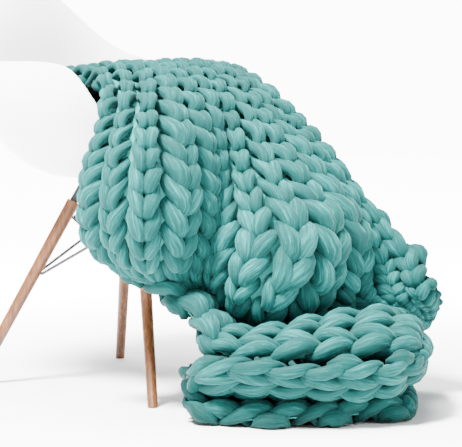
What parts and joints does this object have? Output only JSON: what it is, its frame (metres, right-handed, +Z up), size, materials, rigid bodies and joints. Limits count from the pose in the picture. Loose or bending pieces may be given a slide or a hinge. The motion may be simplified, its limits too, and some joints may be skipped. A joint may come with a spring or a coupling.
{
  "type": "chunky knit blanket draped on a shell armchair",
  "caption": "Thick-yarn knitted throw folded on the seat of a moulded shell armchair with splayed wooden legs, falling over the seat's front edge into loose folds on the floor.",
  "frame": {"origin": "on the floor, below the middle of the bounding box", "axes": "+Z up, -Y the way the chair faces, +X the sitter's left"},
  "size_m": [0.6486, 1.045, 0.8203],
  "materials": {
    "blanket": "soft unspun wool roving",
    "shell": "satin moulded plastic",
    "leg": "turned, lacquered",
    "metal": "black"
  },
  "bodies": {
    "root": {"blanket": "blanket", "shell": "shell", "leg_1": "leg", "leg_2": "leg", "leg_3": "leg", "leg_4": "leg", "socket_1": "metal", "socket_2": "metal", "socket_3": "metal", "socket_4": "metal", "brace_1a": "metal", "brace_1b": "metal", "brace_2a": "metal", "brace_2b": "metal", "brace_3a": "metal", "brace_3b": "metal", "brace_4a": "metal", "brace_4b": "metal"}
  },
  "joints": []
}
